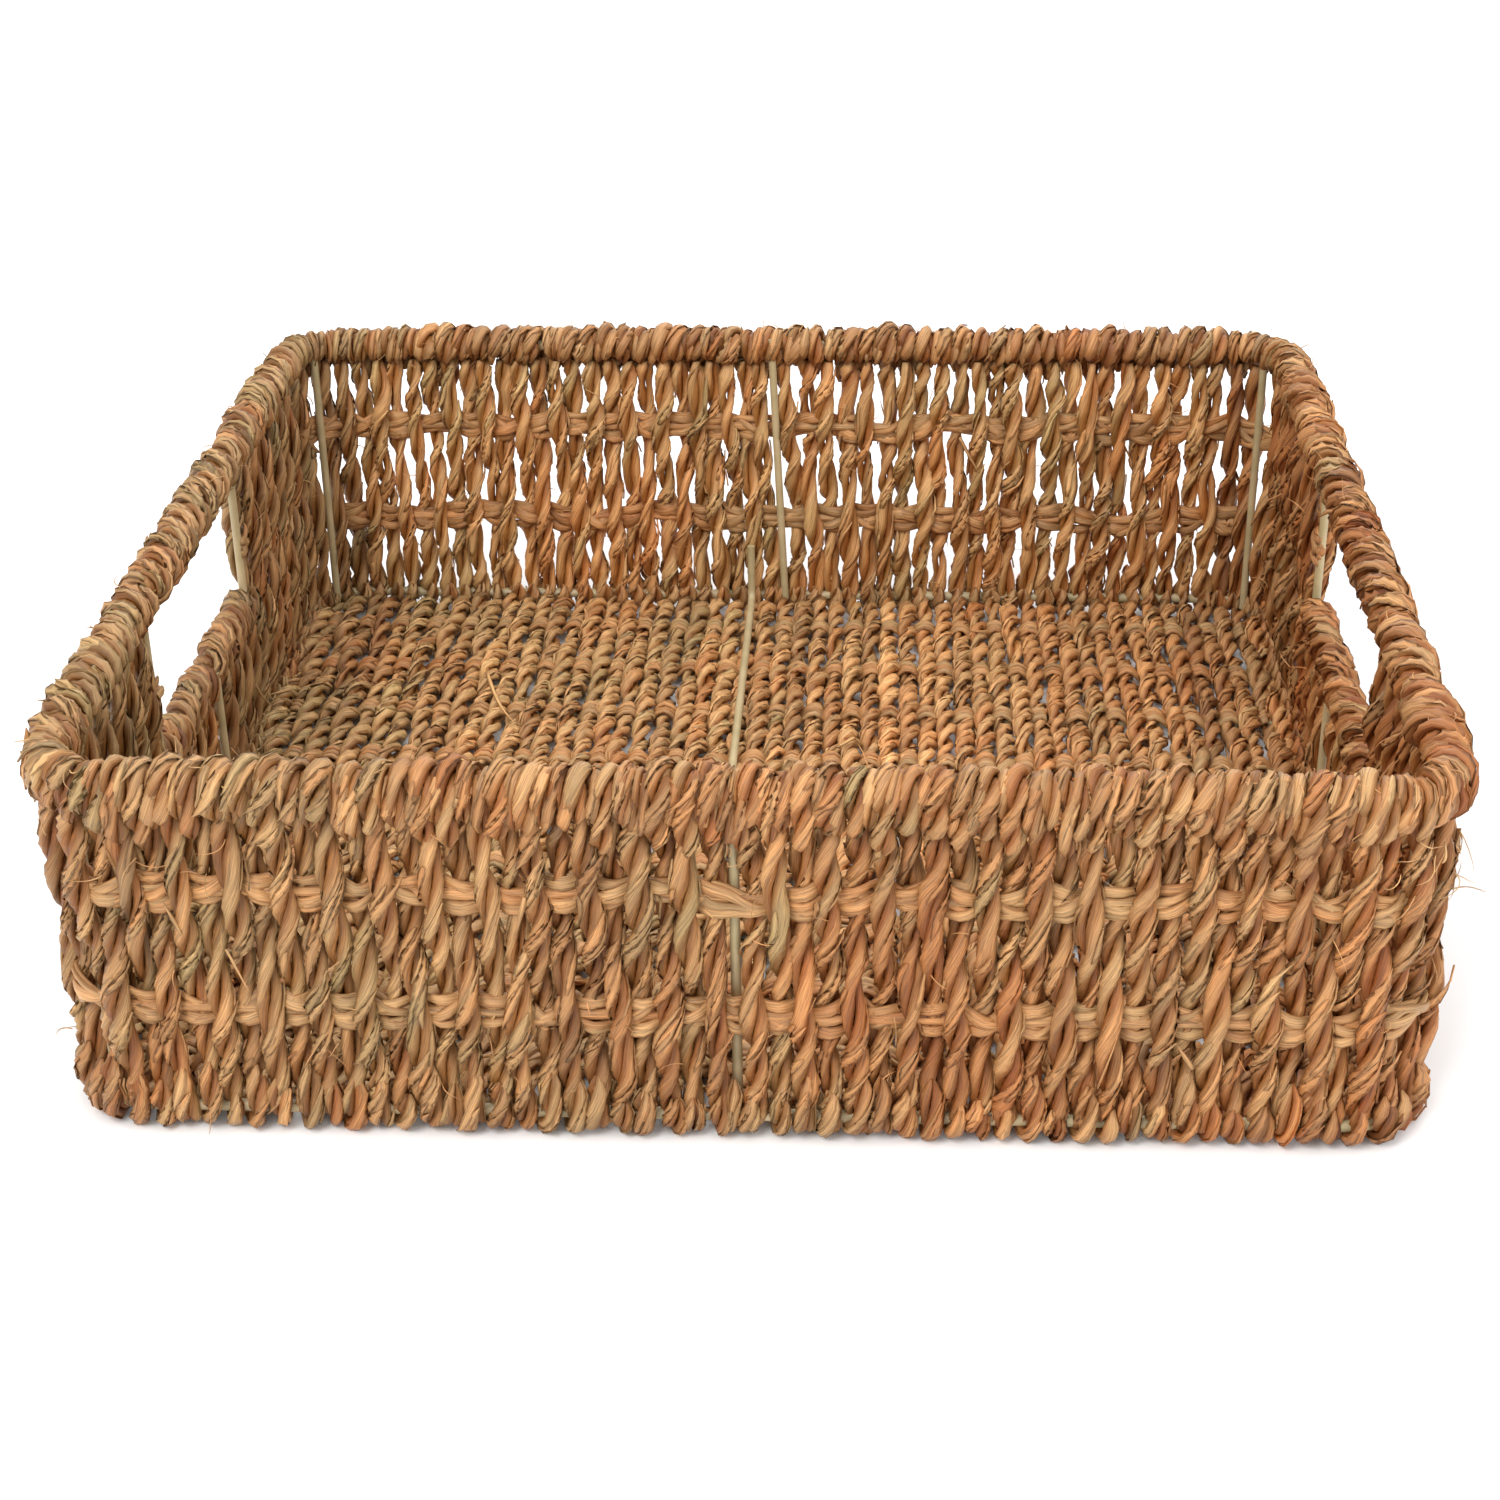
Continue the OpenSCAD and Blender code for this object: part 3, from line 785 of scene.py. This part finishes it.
def sills():
    """Loops over the lower edge of each opening."""
    z = WALL.sill_z
    for name in ("left", "right"):
        piece = Piece(WALL.place)
        for along, _ in wall_ropes(name + "_short_ropes"):
            drop = rng.uniform(8, 11)
            outer = [(1.0, z - drop), (2.6, z - 4)]
            inner = [(-2.6, z - 4), (-1.0, z - 9)]
            line = loop_line(z, SILL_LOOP_R, -15, 195, outer, inner)
            edge_loop(piece, along, line, rng.uniform(3, 6), SILL_LOOP_SCALE, end_hue(along))
        piece.finish(name + "_sill_loops_twist", "edge_loop", name + "_sill_loops")


def handles():
    """One rope wound round the rim wire over each opening."""
    for side in (RIGHT, LEFT):
        piece = Piece(WALL.place)
        begin = WALL.along(side, -WALL.opening + WRAP_INSET)
        length = 2 * WALL.opening - 2 * WRAP_INSET
        turns = length / WRAP_PITCH
        t = np.linspace(0, turns * 2 * np.pi, int(turns * WRAP_POINTS))
        radius = WRAP_R + wander(t, *WRAP_SIZE_WANDER)
        along = begin + WRAP_PITCH * t / (2 * np.pi) + wander(t, *WRAP_SIDE_WANDER)
        line = np.stack([along, radius * np.cos(t), WALL.rim_z + radius * np.sin(t)], 1)
        rope(piece, line, ALONG, WRAP_TWIST, WRAP_SCALE, end_hue(begin + length / 2), 0.03,
             ends=0.5, blade_every=WRAP_BLADE_EVERY, step=LOOP_STEP)
        name = SIDES[side] + "_handle_wrap"
        piece.finish(name + "_twist", "edge_loop", name)


# ---- The floor ----

ROPE_GAP = 0.1
FLOOR_TWIST = 20.0
FLOOR_ROPE_R = 3.1
FLOOR_RISE = 1.8
FLOOR_REACH = 3.0
FLOOR_STEP = 2.5
FLOOR_SHARPNESS = 1.6
FLOOR_SIDE_WANDER = (25, 0.9)
FLOOR_HEIGHT_WANDER = (20, 0.3)
FLOOR_HUE = 0.35
FLOOR_SCALE, FLOOR_END, FLOOR_ROUGH = 1.12, 0.8, 2.2
FLOOR_BLADE_EVERY, FLOOR_RING_STEP, FLOOR_PLY_SIDES = 26.0, 3.9, 6
EDGE_ROPE_OUT = 0.5
STRIP_WAVE = 2.3
STRIP_SIDE_WANDER = (11, 0.7)
STRIP_HEIGHT_WANDER = (9, 0.2)
STRIP_INSET = 3
STRIP_OFFSETS = (-2.6, 0, 2.6)
STRIP_WIDE = 1.45


def floor_rope_places(low, high):
    """x of each floor rope, with one more at each edge of the mat."""
    pitch = high[2] - low[2] + ROPE_GAP
    count = int((high[0] - low[0]) / pitch)
    places = (np.arange(count) - (count - 1) / 2) * pitch
    side = high[0] + EDGE_ROPE_OUT
    return np.concatenate([[-side], places, [side]])


def floor_ropes(low, high, places, spacing):
    """Ropes from front to back that dip under each second strip, by turns with their neighbours."""
    wire_x = middle("long_floor_wire")[0]
    corner = WALL.corner_r - (WALL.reach[1] - high[0])
    rest_z = low[2] + FLOOR_ROPE_R
    piece = Piece()
    for i, x in enumerate(places):
        inset = max(0.0, abs(x) - (high[0] - corner))
        end = high[1] - corner + math.sqrt(max(corner ** 2 - inset ** 2, 0)) + FLOOR_REACH
        y = np.arange(-end, end, FLOOR_STEP)
        over = np.tanh(FLOOR_SHARPNESS * np.cos(np.pi * y / spacing)) / math.tanh(FLOOR_SHARPNESS)
        height = rest_z + FLOOR_RISE * (1 + (-1) ** i * over) + wander(y, *FLOOR_HEIGHT_WANDER)
        if abs(x - wire_x) < 1:
            height = rest_z + 0 * y
        line = np.stack([x + wander(y, *FLOOR_SIDE_WANDER), y, np.maximum(height, FLOOR_ROPE_R)], 1)
        rope(piece, line, ALONG, FLOOR_TWIST * rng.uniform(0.85, 1.2), FLOOR_SCALE,
             FLOOR_HUE * x / high[0], rng.normal(0, 0.09), FLOOR_END, FLOOR_BLADE_EVERY,
             FLOOR_RING_STEP, FLOOR_PLY_SIDES, FLOOR_ROUGH)
    piece.finish("floor_mat_twist", "floor_rope", "floor_mat")


def floor_strips(low, high, places, crossings):
    """Three flat strands in each band across the floor, woven past the floor ropes."""
    piece = Piece()
    for k, crossing in enumerate(crossings):
        row = k - len(crossings) // 2
        at = np.arange(low[0] + STRIP_INSET, high[0] - STRIP_INSET, BAND_STEP)
        keys = [(x, low[2] + FLOOR_ROPE_R + FLOOR_RISE - (-1) ** (i + row) * STRIP_WAVE)
                for i, x in enumerate(places)]
        wave = smooth_steps(at, keys)
        for offset in STRIP_OFFSETS:
            y = crossing + offset + wander(at, *STRIP_SIDE_WANDER)
            line = np.stack([at, y, wave + wander(at, *STRIP_HEIGHT_WANDER)], 1)
            flat_strand(piece, line, (0, 1, 0), STRIP_WIDE, STRAND_THICK, rng.normal(0, 0.25),
                        rng.normal(0, 0.06))
    piece.finish("floor_bands_strands", "band_strand", "floor_bands")


def floor():
    low, high = box_mm("floor_mat")
    places = floor_rope_places(low, high)
    crossings = sorted(((first + last) / 2)[1] for first, last in islands("floor_bands"))
    floor_ropes(low, high, places, crossings[1] - crossings[0])
    floor_strips(low, high, places, crossings)


# ---- Loose fibres ----

WALL_FIBRES = 420
RIM_FIBRES = 130
TORN_BLADES = 34
OUTSIDE_SHARE = 0.65
TUFT_FIBRES = 16


def stray(piece, start, heading, length, wide, thick, curl, tone, rings=9, sides=3):
    """A fibre or a torn blade that leaves the weave and curls."""
    heading = unit(np.asarray(heading, float))
    bend = rng.normal(0, curl, 3)
    line = [np.asarray(start, float)]
    for _ in range(rings - 1):
        line.append(line[-1] + heading * length / (rings - 1))
        bend += rng.normal(0, curl * 0.5, 3)
        heading = unit(heading + bend)
    line = np.array(line)
    across, out = across_and_out(line, rng.normal(0, 1, 3))
    taper = np.sin(np.pi * np.linspace(0.35, 0.97, rings))
    section = flat_section(rings, wide * taper, thick * taper, sides)
    at = np.linspace(0, length, rings)
    light, hue = tone
    piece.tube(line, across, out, section, at, (light + wander(at, 9, 0.1), hue + 0 * at),
               np.ones(section.shape[:2]))


def opening_here(along, z):
    """Whether a place on the wall is in one of the two finger openings."""
    for side in (RIGHT, LEFT):
        if abs(along - WALL.along(side, 0)) < WALL.opening + 2:
            return WALL.sill_z - 2 < z < WALL.rim_z - 3
    return False


def loose_fibres():
    """Fine fibres that stand off both faces of the wall and off the rim."""
    piece = Piece(WALL.place)
    for _ in range(WALL_FIBRES):
        face = rng.choice([-1, 1])
        place = (rng.uniform(0, WALL.total), face * (SKIN - rng.uniform(0.5, 2.5)),
                 rng.uniform(WALL.base_z, WALL.rim_z))
        heading = (rng.normal(0, 0.6), face * rng.uniform(0.1, 0.7), rng.normal(0, 0.8))
        if opening_here(place[0], place[2]):
            continue
        stray(piece, place, heading, rng.uniform(4, 11), wide=0.2, thick=0.14, curl=0.12,
              tone=(rng.uniform(1.0, 1.45), end_hue(place[0]) + rng.normal(0, 0.15)))
    for _ in range(RIM_FIBRES):
        along = rng.uniform(0, WALL.total)
        face = rng.choice([-1, 1])
        place = (along, face * 3.0, WALL.rim_z + rng.uniform(3, 6.5))
        heading = (rng.normal(0, 0.8), face * rng.uniform(0.1, 0.8), rng.uniform(-0.6, 0.7))
        stray(piece, place, heading, rng.uniform(3, 9), wide=0.22, thick=0.15, curl=0.16,
              tone=(rng.uniform(1.1, 1.5), end_hue(along) - 0.1))
    piece.finish("loose_fibres", "rope")


def torn_blades():
    """Torn blades that lie across the ropes, and the tuft at the front right corner."""
    piece = Piece(WALL.place)
    for _ in range(TORN_BLADES):
        face = rng.choice([-1, 1], p=[1 - OUTSIDE_SHARE, OUTSIDE_SHARE])
        along = rng.uniform(0, WALL.total)
        z = rng.uniform(WALL.base_z + 10, WALL.rim_z - 16)
        if opening_here(along, z):
            continue
        heading = (rng.normal(0, 0.5), face * rng.uniform(0.02, 0.14), rng.choice([-1, 1]))
        stray(piece, (along, face * (SKIN - 0.6), z), heading, rng.uniform(9, 19),
              wide=rng.uniform(0.5, 0.9), thick=0.2, curl=0.025,
              tone=(rng.uniform(0.95, 1.2), end_hue(along)), rings=8, sides=4)
    corner = WALL.start[FRONT] + 2 * WALL.half[0] + WALL.arc * 0.5
    for _ in range(TUFT_FIBRES):
        along = corner + rng.uniform(-12, 14)
        z = WALL.rim_z - rng.uniform(2, 34)
        heading = (rng.normal(0, 0.5), rng.uniform(0.15, 0.7), rng.uniform(-1.2, 0.3))
        stray(piece, (along, SKIN - 1.5, z), heading, rng.uniform(7, 15),
              wide=rng.uniform(0.15, 0.35), thick=0.14, curl=0.24,
              tone=(rng.uniform(1.2, 1.5), -0.2), rings=12, sides=4)
    piece.finish("torn_blades", "edge_loop")


def floor_stray():
    """The one long blade that lies on the floor ropes at the front left."""
    low, high = box_mm("floor_mat")
    piece = Piece()
    start = (low[0] * 0.6, high[1] * 0.55, high[2] + 4.5)
    stray(piece, start, (0.3, -1, -0.04), 42, wide=0.75, thick=0.3, curl=0.012,
          tone=(1.35, -0.2), rings=12, sides=4)
    piece.finish("floor_stray_blade", "floor_rope")


# ---- Materials ----

# Base colour at places from 0 (khaki) to 1 (orange brown)
HUES = (
    (0.0, (0.31, 0.21, 0.088, 1)),
    (0.35, (0.42, 0.24, 0.1, 1)),
    (0.6, (0.44, 0.21, 0.076, 1)),
    (1.0, (0.39, 0.13, 0.032, 1)),
)
# Painted shade: the colour that a ply is darkened towards in the crevice between the plies
PAINTED_FOLD_SHADE = (0.5, 0.33, 0.16, 1)
WHITE = (1, 1, 1, 1)
FIBRE_SCALE, FIBRE_DETAIL = 2.4, 3.0
PATCH_SCALE, PATCH_DETAIL, PATCH_HUE = 0.35, 2.0, 0.4
BROAD_SCALE, BROAD_HUE = 16, 0.9
STREAK_GAIN, STREAK_BASE = 2.2, -0.12
SEAGRASS_ROUGHNESS, FIBRE_ROUGHNESS = 0.36, 0.3
SEAGRASS_SPECULAR = 0.45

PAINT_DARK = (0.38, 0.31, 0.16, 1)
PAINT_LIGHT = (0.58, 0.45, 0.26, 1)
WEAR_SCALE, WEAR_DETAIL = 90, 5
WEAR_GAIN, WEAR_BASE = 2.4, -0.8
PAINT_ROUGHNESS, WEAR_ROUGHNESS = 0.3, 0.3


class Shader:
    """A material's nodes. An input is a number, a colour or another node's output."""

    def __init__(self, name):
        self.material = bpy.data.materials.new(name)
        self.material.use_nodes = True
        self.tree = self.material.node_tree
        self.surface = self.tree.nodes["Principled BSDF"]

    def node(self, kind, **settings):
        made = self.tree.nodes.new(kind)
        for key, value in settings.items():
            setattr(made, key, value)
        return made

    def feed(self, socket, value):
        if isinstance(value, bpy.types.NodeSocket):
            self.tree.links.new(value, socket)
        else:
            socket.default_value = value

    def multiply_add(self, first, second, third=0.0):
        node = self.node("ShaderNodeMath", operation="MULTIPLY_ADD")
        for socket, value in zip(node.inputs, (first, second, third)):
            self.feed(socket, value)
        return node.outputs[0]

    def mix(self, blend, factor, first, second):
        node = self.node("ShaderNodeMix", data_type="RGBA", blend_type=blend)
        for socket, value in ((0, factor), (6, first), (7, second)):
            self.feed(node.inputs[socket], value)
        return node.outputs[2]

    def noise(self, place, scale, detail=2.0):
        node = self.node("ShaderNodeTexNoise")
        node.inputs["Scale"].default_value = scale
        node.inputs["Detail"].default_value = detail
        self.tree.links.new(place, node.inputs["Vector"])
        return node.outputs["Fac"]

    def ramp(self, place, stops):
        node = self.node("ShaderNodeValToRGB")
        elements = node.color_ramp.elements
        elements[0].position, elements[0].color = stops[0]
        elements[1].position, elements[1].color = stops[-1]
        for position, colour in stops[1:-1]:
            elements.new(position).color = colour
        self.tree.links.new(place, node.inputs["Fac"])
        return node.outputs["Color"]

    def bump(self, height, strength, distance):
        node = self.node("ShaderNodeBump")
        node.inputs["Strength"].default_value = strength
        node.inputs["Distance"].default_value = distance
        self.tree.links.new(height, node.inputs["Height"])
        self.tree.links.new(node.outputs["Normal"], self.surface.inputs["Normal"])


def seagrass(name, light, hue):
    """Dried seagrass: a hue from khaki to orange brown, fine fibres, and shade painted dark into the
    folds between the plies. The mesh attributes are grain, a place along and round a strand, and
    shade: lightness, hue and painted fold shade."""
    made = Shader(name)
    grain = made.node("ShaderNodeAttribute", attribute_name="grain").outputs["Vector"]
    shade = made.node("ShaderNodeAttribute", attribute_name="shade").outputs["Vector"]
    parts = made.node("ShaderNodeSeparateXYZ")
    made.feed(parts.inputs[0], shade)
    lightness, hue_part, painted_shade_part = parts.outputs
    fibre = made.noise(grain, FIBRE_SCALE, FIBRE_DETAIL)
    patch = made.noise(grain, PATCH_SCALE, PATCH_DETAIL)
    broad = made.noise(made.node("ShaderNodeTexCoord").outputs["Object"], BROAD_SCALE)
    hue_place = made.multiply_add(hue_part, 0.5, 0.5 + 0.5 * hue)
    patch_hue = made.multiply_add(patch, PATCH_HUE, -PATCH_HUE / 2)
    hue_place = made.multiply_add(patch_hue, 1.0, hue_place)
    broad_hue = made.multiply_add(broad, BROAD_HUE, -BROAD_HUE / 2)
    hue_place = made.multiply_add(broad_hue, 1.0, hue_place)
    streak = made.multiply_add(fibre, STREAK_GAIN, STREAK_BASE)
    level = made.multiply_add(made.multiply_add(lightness, streak), light)
    grey = made.node("ShaderNodeCombineXYZ")
    for socket in grey.inputs:
        made.feed(socket, level)
    colour = made.mix("MULTIPLY", 1.0, made.ramp(hue_place, HUES), grey.outputs[0])
    # Painted shade: the colour is darkened in the crevices between the plies
    fold = made.mix("MIX", painted_shade_part, PAINTED_FOLD_SHADE, WHITE)
    colour = made.mix("MULTIPLY", 1.0, colour, fold)
    made.feed(made.surface.inputs["Base Color"], colour)
    rough = made.multiply_add(fibre, FIBRE_ROUGHNESS, SEAGRASS_ROUGHNESS)
    made.feed(made.surface.inputs["Roughness"], rough)
    made.surface.inputs["Specular IOR Level"].default_value = SEAGRASS_SPECULAR
    made.bump(fibre, strength=0.6, distance=0.0005)
    return made.material


def painted_wire():
    """Satin khaki paint, a little worn and dusty."""
    made = Shader("khaki_paint")
    place = made.node("ShaderNodeTexCoord").outputs["Object"]
    wear = made.noise(place, WEAR_SCALE, WEAR_DETAIL)
    worn = made.multiply_add(wear, WEAR_GAIN, WEAR_BASE)
    made.feed(made.surface.inputs["Base Color"], made.mix("MIX", worn, PAINT_DARK, PAINT_LIGHT))
    rough = made.multiply_add(wear, WEAR_ROUGHNESS, PAINT_ROUGHNESS)
    made.feed(made.surface.inputs["Roughness"], rough)
    made.bump(wear, strength=0.25, distance=0.0003)
    return made.material


def paint_wires():
    paint = painted_wire()
    for part in frame["record"]["subparts"]:
        if part["material_slot"] == "wire":
            for holder in frame["nodes"][part["node"]].material_slots:
                holder.link = "OBJECT"
                holder.material = paint


# ---- The stage ----

# The photograph's view: angles in degrees, lengths in m
VIEW_ELEVATION, VIEW_YAW, VIEW_ROLL = 28.42, -3.26, -0.85
VIEW_TARGET = Vector((-0.0057, 0.0, 0.0282))
VIEW_DISTANCE = 0.829
VIEW_LENS, VIEW_SENSOR = 61.2, 36.0

STAGE_SIZE = 40
STAGE_COLOUR = (0.9, 0.9, 0.9, 1)
STAGE_ROUGHNESS, STAGE_SPECULAR = 0.9, 0.1
WORLD_STRENGTH = 1.0
LIGHT_AIM = Vector((0, 0, 0.03))
# Name, place and size in m, and power in W
LIGHTS = (
    ("key", (-0.45, -1.0, 1.15), 0.6, 12),
    ("fill", (0.9, -0.7, 0.7), 0.9, 4),
    ("top", (0.1, 0.0, 1.5), 1.0, 6),
    ("back", (0.1, 1.1, 0.9), 0.8, 5),
)


def camera():
    lift, yaw, roll = (math.radians(v) for v in (VIEW_ELEVATION, VIEW_YAW, VIEW_ROLL))
    ahead = Vector((math.sin(yaw) * math.cos(lift), math.cos(yaw) * math.cos(lift),
                    -math.sin(lift)))
    right = ahead.cross(Vector(UP)).normalized()
    up = right.cross(ahead)
    right, up = (right * math.cos(roll) + up * math.sin(roll),
                 up * math.cos(roll) - right * math.sin(roll))
    data = bpy.data.cameras.new("camera")
    data.lens = VIEW_LENS
    data.sensor_width = VIEW_SENSOR
    obj = bpy.data.objects.new("camera", data)
    turn = Matrix((right, up, -ahead)).transposed().to_4x4()
    obj.matrix_world = Matrix.Translation(VIEW_TARGET - ahead * VIEW_DISTANCE) @ turn
    bpy.context.scene.collection.objects.link(obj)
    bpy.context.scene.camera = obj


def area_light(name, place, size, power):
    data = bpy.data.lights.new(name, "AREA")
    data.size = size
    data.energy = power
    obj = bpy.data.objects.new(name, data)
    obj.location = place
    obj.rotation_euler = (LIGHT_AIM - Vector(place)).to_track_quat("-Z", "Y").to_euler()
    bpy.context.scene.collection.objects.link(obj)


def stage():
    bpy.ops.mesh.primitive_plane_add(size=STAGE_SIZE)
    plane = bpy.context.object
    plane.name = "studio_floor"
    pale = Shader("studio_white")
    pale.surface.inputs["Base Color"].default_value = STAGE_COLOUR
    pale.surface.inputs["Roughness"].default_value = STAGE_ROUGHNESS
    pale.surface.inputs["Specular IOR Level"].default_value = STAGE_SPECULAR
    plane.data.materials.append(pale.material)
    world = bpy.data.worlds.new("studio")
    world.use_nodes = True
    background = world.node_tree.nodes["Background"]
    background.inputs["Color"].default_value = WHITE
    background.inputs["Strength"].default_value = WORLD_STRENGTH
    bpy.context.scene.world = world
    for light in LIGHTS:
        area_light(*light)
    bpy.context.scene.view_settings.view_transform = "Standard"


MATERIALS = {name: seagrass("seagrass_" + name, *tone) for name, tone in TONES.items()}
paint_wires()
walls()
bands()
rims()
bases()
sills()
handles()
floor()
loose_fibres()
torn_blades()
floor_stray()
camera()
stage()
